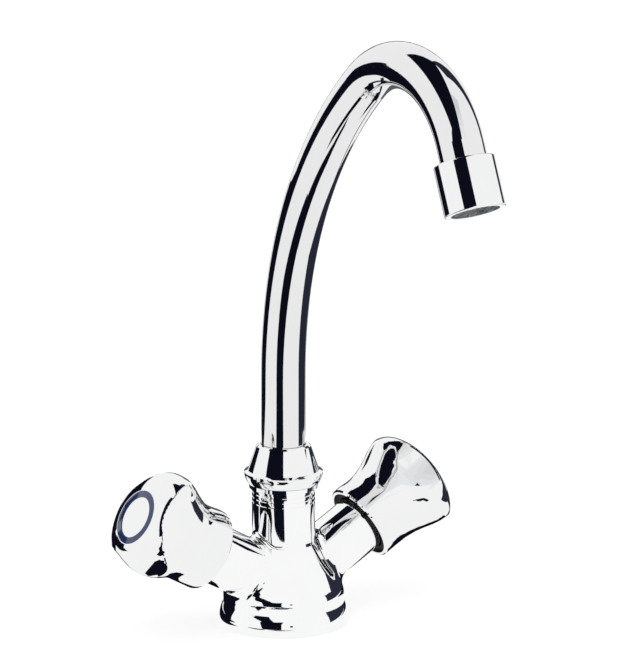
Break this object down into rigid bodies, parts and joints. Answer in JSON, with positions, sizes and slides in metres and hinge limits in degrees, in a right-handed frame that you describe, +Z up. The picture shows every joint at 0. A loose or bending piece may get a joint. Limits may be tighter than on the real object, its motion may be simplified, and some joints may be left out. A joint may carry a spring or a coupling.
{
  "type": "gooseneck basin mixer",
  "caption": "Basin mixer with a Y-shaped chromed body, lobed quarter-turn handles on rising arms, and a swivelling gooseneck spout ending in an aerator.",
  "frame": {"origin": "centre of the foot's underside, on the deck", "axes": "+Z up along the neck and riser; at rest the spout reaches out along -Y; the valve arms rise towards -X (left) and +X (right)"},
  "size_m": [0.1518, 0.1711, 0.2488],
  "materials": {
    "chrome_casting": "bright chrome plate on cast brass",
    "chrome_trim": "bright chrome plate on turned brass",
    "chrome_tube": "bright chrome plate on drawn brass tube",
    "chrome_handle": "bright chrome plate on die-cast zinc",
    "brass": "turned, unplated",
    "steel": "stainless, bright",
    "rubber": "moulded nitrile, matt",
    "white_plastic": "moulded acetal",
    "black_plastic": "moulded, fine satin",
    "grey_plastic": "moulded, satin",
    "ceramic": "lapped alumina",
    "index_blue": "moulded, glossy",
    "index_red": "moulded, glossy",
    "index_button": "bright chrome plate on plastic"
  },
  "bodies": {
    "root": {"mixer_body": "chrome_casting", "base_seal": "rubber", "spout_nut": "chrome_trim", "collar_slip_ring": "white_plastic", "left_disc_seal": "rubber", "left_fixed_disc": "ceramic", "left_bonnet": "brass", "left_bonnet_seal": "rubber", "right_disc_seal": "rubber", "right_fixed_disc": "ceramic", "right_bonnet": "brass", "right_bonnet_seal": "rubber"},
    "spout": {"spout_tube": "chrome_tube", "spout_bush": "brass", "spout_o_rings": "rubber", "lower_glide_ring": "white_plastic", "upper_glide_ring": "white_plastic", "outlet_sleeve": "brass", "aerator_housing": "chrome_trim", "aerator_washer": "rubber", "aerator_cartridge": "grey_plastic", "aerator_screen": "grey_plastic"},
    "left_valve": {"left_spindle": "brass", "left_spindle_seal": "rubber", "left_spindle_clip": "steel", "left_moving_disc": "ceramic", "left_handle": "chrome_handle", "left_handle_insert": "black_plastic", "left_handle_screw": "steel", "left_index_ring": "index_blue", "left_index_button": "index_button"},
    "right_valve": {"right_spindle": "brass", "right_spindle_seal": "rubber", "right_spindle_clip": "steel", "right_moving_disc": "ceramic", "right_handle": "chrome_handle", "right_handle_insert": "black_plastic", "right_handle_screw": "steel", "right_index_ring": "index_red", "right_index_button": "index_button"}
  },
  "joints": [
    {"name": "spout_swivel", "type": "hinge", "parent": "root", "child": "spout", "pos_m": [0, 0, 0.0645], "axis": [0, 0, 1], "continuous": true},
    {"name": "left_valve_turn", "type": "hinge", "parent": "root", "child": "left_valve", "pos_m": [0, 0, 0.0146], "axis": [-0.8704, 0, 0.4924], "range_deg": [0, 90]},
    {"name": "right_valve_turn", "type": "hinge", "parent": "root", "child": "right_valve", "pos_m": [0, 0, 0.0146], "axis": [0.8704, 0, 0.4924], "range_deg": [-90, 0]}
  ]
}
